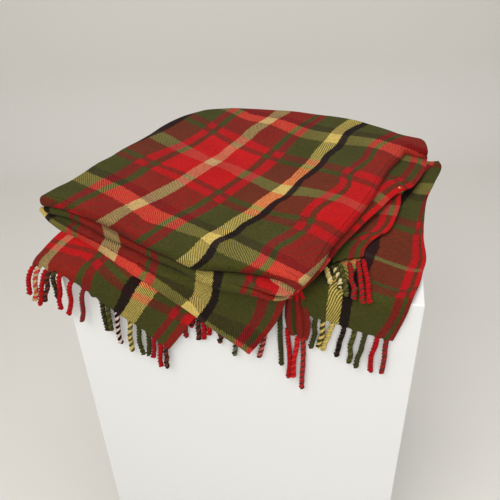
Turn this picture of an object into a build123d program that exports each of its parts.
from build123d import *
import os

# Folded wool camp blanket, resting on a flat support with its two fringed ends
# hanging over the support's front edge. Millimetres, +Z up, origin on the
# support plane under the middle of the folded stack; the front faces -Y.
#
# The blanket is one woven cloth. It is divided here along its fold lines, so
# that each folded section can turn about the fold that holds it.

os.makedirs("parts", exist_ok=True)

# ---- heights of the folded sections, from the support up -----------------------

SECTION_GAP = 1.0
BOTTOM_Z0 = 0.0
BOTTOM_Z1 = BOTTOM_Z0 + 16.0          # two layers of cloth
INNER_Z0 = BOTTOM_Z1 + SECTION_GAP
INNER_Z1 = INNER_Z0 + 8.0             # one fringed end of the cloth
MIDDLE_Z0 = INNER_Z1 + SECTION_GAP
MIDDLE_Z1 = MIDDLE_Z0 + 20.0          # two layers
TOP_Z0 = MIDDLE_Z1 + SECTION_GAP
TOP_Z1 = TOP_Z0 + 26.0                # two layers

# ---- front edge of the support --------------------------------------------------
# Every hanging piece folds down along this line. In the local frame x runs along
# the edge (p), y is up (z) and z points out from the support (o).

EDGE_X, EDGE_Y = 0.97775, -0.20972    # direction of the edge in plan
FRONT = Plane(
    origin=(-380, -230, 0),
    x_dir=(EDGE_X, EDGE_Y, 0),
    z_dir=(EDGE_Y, -EDGE_X, 0),
)

# ---- hanging cloth ----------------------------------------------------------------

CLOTH = 6.0                           # thickness of one hanging layer
THICK_CLOTH = CLOTH + 1               # the same for the corner flap and right drape
FOLD_R = 4.5                          # rounding of the outer top edge, where cloth folds down
GATHER_R = 2.0                        # rounding of the gathered panel's corners

DRAPE_TOP = -1.0                      # top of the drapes, just below the support plane
GATHER_TOP = -2.0
FLAP_TOP = INNER_Z1                   # the flap leaves the stack just under the middle section
FLAP_END_P = 470                      # right end of the flap

LEFT_DRAPE_O = 11.0                   # inner face of the left drape, out from the edge
FLAP_O = 20.0                         # inner face of the corner flap
RIGHT_DRAPE_O = 3.0                   # inner face of the right drape and gathered panel
LEFT_STRIP_O = 1.0                    # inner end of the level strip that tops the left drape
FLAP_STRIP_O = 8.0                    # inner end of the level strip that tops the flap

# Fringed hems, each a straight run between two points (p, z)
LEFT_HEM = ((-64.0, -18.0), (80.0, -44.0))      # gentle run of the left drape
STEEP_HEM = ((80.0, -56.0), (212.0, -168.0))    # steep run of the left drape
RIGHT_HEM = ((508.0, -48.0), (656.0, -90.0))    # right drape

# Outlines on the front plane (p, z)
LEFT_DRAPE_OUTLINE = [(-62, DRAPE_TOP), *LEFT_HEM, *STEEP_HEM, (268, -85), (330, DRAPE_TOP)]
LEFT_STRIP_OUTLINE = [
    (-60, DRAPE_TOP), (-60, DRAPE_TOP - CLOTH), (326, DRAPE_TOP - CLOTH), (329.6, DRAPE_TOP),
]
FLAP_OUTLINE = [
    (165, FLAP_TOP), (197, 6), (289, -67), (386, -137), (431, -65),
    (FLAP_END_P, 0), (FLAP_END_P, FLAP_TOP),
]
FLAP_STRIP_OUTLINE = [
    (165.6, FLAP_TOP), (176, FLAP_TOP - CLOTH),
    (FLAP_END_P, FLAP_TOP - CLOTH), (FLAP_END_P, FLAP_TOP),
]
RIGHT_DRAPE_OUTLINE = [(508, DRAPE_TOP), *RIGHT_HEM, (672, -45), (692, DRAPE_TOP)]
GATHER_OUTLINE = [
    (472, GATHER_TOP), (489, GATHER_TOP), (502, -60), (500, -80),
    (493, -97), (477, -98), (472, -60),
]

# ---- plan outlines of the folded sections (x, y) -----------------------------------

BOTTOM_OUTLINE = [
    (-383.3, -228.8), (309.4, -377.4), (325, -291), (336, -249), (354, -202),
    (364, -130), (384, -61), (427, 8), (468, 116), (450, 186),
    (380, 226), (295, 284), (129, 364), (-34, 418), (-110, 410),
    (-184, 360), (-278, 208), (-368, 70), (-404, -85), (-420, -150), (-412, -212),
]
INNER_OUTLINE = [
    (122, -277), (214, -245), (222, -238), (295, -140), (353, -16), (404, 42),
    (440, 106), (420, 165), (370, 214), (290, 282), (125, 360),
    (0, 300), (0, -200),
]
MIDDLE_OUTLINE = [
    (-438, -54), (-424, -98), (-386, -150), (-284, -214), (-238, -258),
    (-185, -276), (79, -332), (96, -316), (166, -234), (245, -118),
    (356, 47), (430, 140), (400, 190), (295, 286), (129, 366),
    (-34, 420), (-110, 412), (-183, 362), (-276, 210), (-366, 70),
]
TOP_OUTLINE = [
    (-437, -86), (-318, -160), (-92, -316), (0, -352), (77, -402),
    (230, -142), (378, 106), (426, 92), (437, 160), (380, 208),
    (295, 288), (129, 369), (-34, 424), (-113, 418), (-189, 370),
    (-283, 214), (-372, 72),
]

# ---- fringe -------------------------------------------------------------------------

TASSEL_R = 3.6                        # twisted tassel radius
KNOT_R = 4.4                          # knotted tip radius
HEM_GAP = 3.0                         # woven hem to tassel root, on a nearly level hem
STEEP_HEM_GAP = 5.6                   # on the steep hem, so that swinging roots clear it
HEM_BOW = 0.6                         # how far the middle of a hem tassel stands out
FREE_BOW = 0.3                        # the same for tassels with a hidden root

# Centre lines of the tassels, out from the edge
LEFT_FRINGE_O = LEFT_DRAPE_O + CLOTH / 2
RIGHT_FRINGE_O = RIGHT_DRAPE_O + THICK_CLOTH / 2
CENTRE_FRINGE_O = 6.0

# Lying tassels
LYING_Z = (INNER_Z0 + INNER_Z1) / 2   # centre line, halfway up the inner section
LYING_BEND = 1.0                      # sideways shift of the middle, along the edge
LYING_DROOP = 0.6                     # drop of the tip

# Tassels below a hem: (root p, middle p, middle z, tip p, tip z)
LEFT_TASSELS = {
    "left_tassel_striped": [(-56, -61, -42, -67, -68)],
    "left_tassels_red": [(-34, -46, -54, -60, -87), (8, -2, -58, -14, -88),
                         (27, 15, -68, 2, -108)],
    "left_tassels_brown": [(-21, -34, -54, -47, -81), (-8, -14, -46, -18, -66),
                           (49, 40, -80, 31, -121)],
}
STEEP_HEM_TASSELS = {
    "hem_tassels_green": [(84, 81, -104, 80, -148), (95, 93, -110, 93, -140),
                          (154, 149, -160, 153, -196), (172, 168, -168, 166, -199)],
    "hem_tassel_black_white": [(112, 107, -130, 109, -172)],
    "hem_tassel_yellow": [(137, 132, -148, 129, -190)],
    "hem_tassels_red": [(184, 180, -178, 178, -203), (195, 191, -192, 189, -229)],
    "hem_tassel_brown": [(207, 204, -198, 203, -227)],
}
RIGHT_TASSELS = {
    "right_tassels_green": [(512, 510, -85, 506, -132), (524, 520, -95, 517, -130),
                            (586, 581, -108, 580, -160), (606, 600, -118, 594, -168)],
    "right_tassel_yellow": [(545, 538, -90, 529, -136)],
    "right_tassel_black": [(566, 560, -100, 555, -146)],
    "right_tassels_red": [(629, 624, -127, 622, -177), (646, 644, -130, 645, -174)],
}

# Tassels whose roots are hidden behind the corner flap:
# (root p, root z, middle p, middle z, tip p, tip z)
CENTRE_TASSELS = {
    "centre_tassel_striped": [(418, -84, 410, -130, 401, -174)],
    "centre_tassel_green": [(444, -42, 444, -111, 448, -188)],
    "centre_tassels_red": [(458, -83, 463, -149, 461, -222), (479, -101, 475, -155, 473, -217)],
    "centre_tassel_brown": [(489, -101, 491, -175, 488, -246)],
    "short_tassels_red": [(255, -76, 252, -108, 250, -140), (270, -50, 268, -80, 265, -113),
                          (292, -74, 290, -105, 289, -140), (305, -60, 303, -92, 301, -125)],
    "short_tassels_brown": [(281, -82, 279, -112, 277, -145), (325, -80, 323, -112, 321, -144)],
    "short_tassel_green": [(355, -106, 353, -138, 351, -172)],
}

# Tassels lying level at the front of the inner section: (root p, root o, tip p, tip o)
INNER_TASSELS = {
    "inner_tassels_cream": [(519, -62, 531, -15), (532, -67, 552, -4)],
    "inner_tassel_green": [(548, -74, 567, 14)],
    "inner_tassels_red": [(565, -81, 582, 22), (581, -87, 597, 32), (594, -93, 610, 30)],
}


def save(part, node):
    """Label a piece and write its STEP file."""
    part.label = node
    export_step(part, f"parts/{node}.step")


# ---- folded sections ------------------------------------------------------------------

def folded_section(node, outline, z0, z1, corner_r, roll_r, rolled_below=False):
    """A flat stack of cloth, rounded along its top rim and, if asked, its bottom rim."""
    with BuildPart() as section:
        with BuildSketch(Plane.XY.offset(z0)) as plan:
            with BuildLine():
                Polyline(*outline, close=True)
            make_face()
            fillet(plan.vertices(), corner_r)
        extrude(amount=z1 - z0)
        fillet(section.faces().sort_by(Axis.Z)[-1].edges(), roll_r)
        if rolled_below:
            fillet(section.faces().sort_by(Axis.Z)[0].edges(), roll_r)
    save(section.part, node)


# The bottom and inner sections are flat underneath
folded_section("bottom_section", BOTTOM_OUTLINE, BOTTOM_Z0, BOTTOM_Z1, corner_r=12, roll_r=6)
folded_section("inner_section", INNER_OUTLINE, INNER_Z0, INNER_Z1, corner_r=3, roll_r=3)

# The middle and top sections have a rolled edge all round
folded_section("middle_section", MIDDLE_OUTLINE, MIDDLE_Z0, MIDDLE_Z1,
               corner_r=9.5, roll_r=9, rolled_below=True)
folded_section("top_section", TOP_OUTLINE, TOP_Z0, TOP_Z1,
               corner_r=13, roll_r=12, rolled_below=True)


# ---- hanging pieces -------------------------------------------------------------------

def hanging_piece(node, outline, inner_o, thickness, top_z, min_fold, strip=None, strip_o=0.0):
    """A hanging panel, with an optional level strip reaching back towards the stack.

    The fold is the outermost of the top edges longer than min_fold.
    """
    with BuildPart() as piece:
        with BuildSketch(FRONT.offset(inner_o)):
            with BuildLine():
                Polyline(*outline, close=True)
            make_face()
        extrude(amount=thickness)
        if strip:
            with BuildSketch(FRONT.offset(strip_o)):
                with BuildLine():
                    Polyline(*strip, close=True)
                make_face()
            extrude(amount=inner_o + thickness - strip_o)
        top_edges = piece.edges().filter_by(
            lambda e: e.length > min_fold and (e @ 0.5).Z > top_z - 0.5
        )
        fillet(top_edges.sort_by(Axis.Y)[0], FOLD_R)
    save(piece.part, node)


def gathered_panel():
    """The right fringed end bunched up under the front corner."""
    with BuildPart() as panel:
        with BuildSketch(FRONT.offset(RIGHT_DRAPE_O)):
            with BuildLine():
                Polyline(*GATHER_OUTLINE, close=True)
            make_face()
        extrude(amount=CLOTH)
        # the edges that run through the thickness of the cloth
        fillet(
            panel.edges().filter_by(lambda e: (e % 0.5).cross(FRONT.z_dir).length < 0.01),
            GATHER_R,
        )
    save(panel.part, "gathered_panel")


# left drape: a fringed end, folded down over the front edge
hanging_piece("left_drape", LEFT_DRAPE_OUTLINE, LEFT_DRAPE_O, CLOTH, DRAPE_TOP,
              min_fold=350, strip=LEFT_STRIP_OUTLINE, strip_o=LEFT_STRIP_O)

# corner flap: the pointed corner of the middle section that hangs at the front
hanging_piece("corner_flap", FLAP_OUTLINE, FLAP_O, THICK_CLOTH, FLAP_TOP,
              min_fold=290, strip=FLAP_STRIP_OUTLINE, strip_o=FLAP_STRIP_O)

# right drape: the other fringed end where it folds down at the right
hanging_piece("right_drape", RIGHT_DRAPE_OUTLINE, RIGHT_DRAPE_O, THICK_CLOTH, DRAPE_TOP,
              min_fold=150)

gathered_panel()


# ---- tassels --------------------------------------------------------------------------

def hem_z(hem, p):
    """Height of a straight hem at a place along the edge."""
    (p0, z0), (p1, z1) = hem
    return z0 + (z1 - z0) * (p - p0) / (p1 - p0)


def hanging_run(root_p, root_z, mid_p, mid_z, tip_p, tip_z, out, bow):
    """Root, middle and knot centre of a hanging tassel; its knot ends at tip_z."""
    return [
        FRONT.from_local_coords((root_p, root_z, out)),
        FRONT.from_local_coords((mid_p, mid_z, out + bow)),
        FRONT.from_local_coords((tip_p, tip_z + KNOT_R, out)),
    ]


def lying_run(root_p, root_o, tip_p, tip_o):
    """Root, middle and knot centre of a lying tassel."""
    mid_p = (root_p + tip_p) / 2 + LYING_BEND
    mid_o = (root_o + tip_o) / 2
    return [
        FRONT.from_local_coords((root_p, LYING_Z, root_o)),
        FRONT.from_local_coords((mid_p, LYING_Z, mid_o)),
        FRONT.from_local_coords((tip_p, LYING_Z - LYING_DROOP, tip_o)),
    ]


def tassel_group(node, runs):
    """Bundles of warp yarns twisted together, each knotted at its tip."""
    with BuildPart() as tassels:
        for points in runs:
            with BuildLine() as run:
                Spline(*points)
            with BuildSketch(Plane(origin=run.line @ 0, z_dir=run.line % 0)):
                Circle(TASSEL_R)
            sweep()
            with Locations(points[-1]):
                Sphere(KNOT_R)
    save(tassels.part, node)


def hem_fringe(groups, hem, out, gap=HEM_GAP):
    """Tassel groups whose roots follow a hem, a small gap below it."""
    for node, rows in groups.items():
        tassel_group(node, [
            hanging_run(root_p, hem_z(hem, root_p) - gap, *rest, out, HEM_BOW)
            for root_p, *rest in rows
        ])


hem_fringe(LEFT_TASSELS, LEFT_HEM, LEFT_FRINGE_O)
hem_fringe(STEEP_HEM_TASSELS, STEEP_HEM, LEFT_FRINGE_O, STEEP_HEM_GAP)
for node, rows in CENTRE_TASSELS.items():
    tassel_group(node, [hanging_run(*row, CENTRE_FRINGE_O, FREE_BOW) for row in rows])
hem_fringe(RIGHT_TASSELS, RIGHT_HEM, RIGHT_FRINGE_O)
for node, rows in INNER_TASSELS.items():
    tassel_group(node, [lying_run(*row) for row in rows])
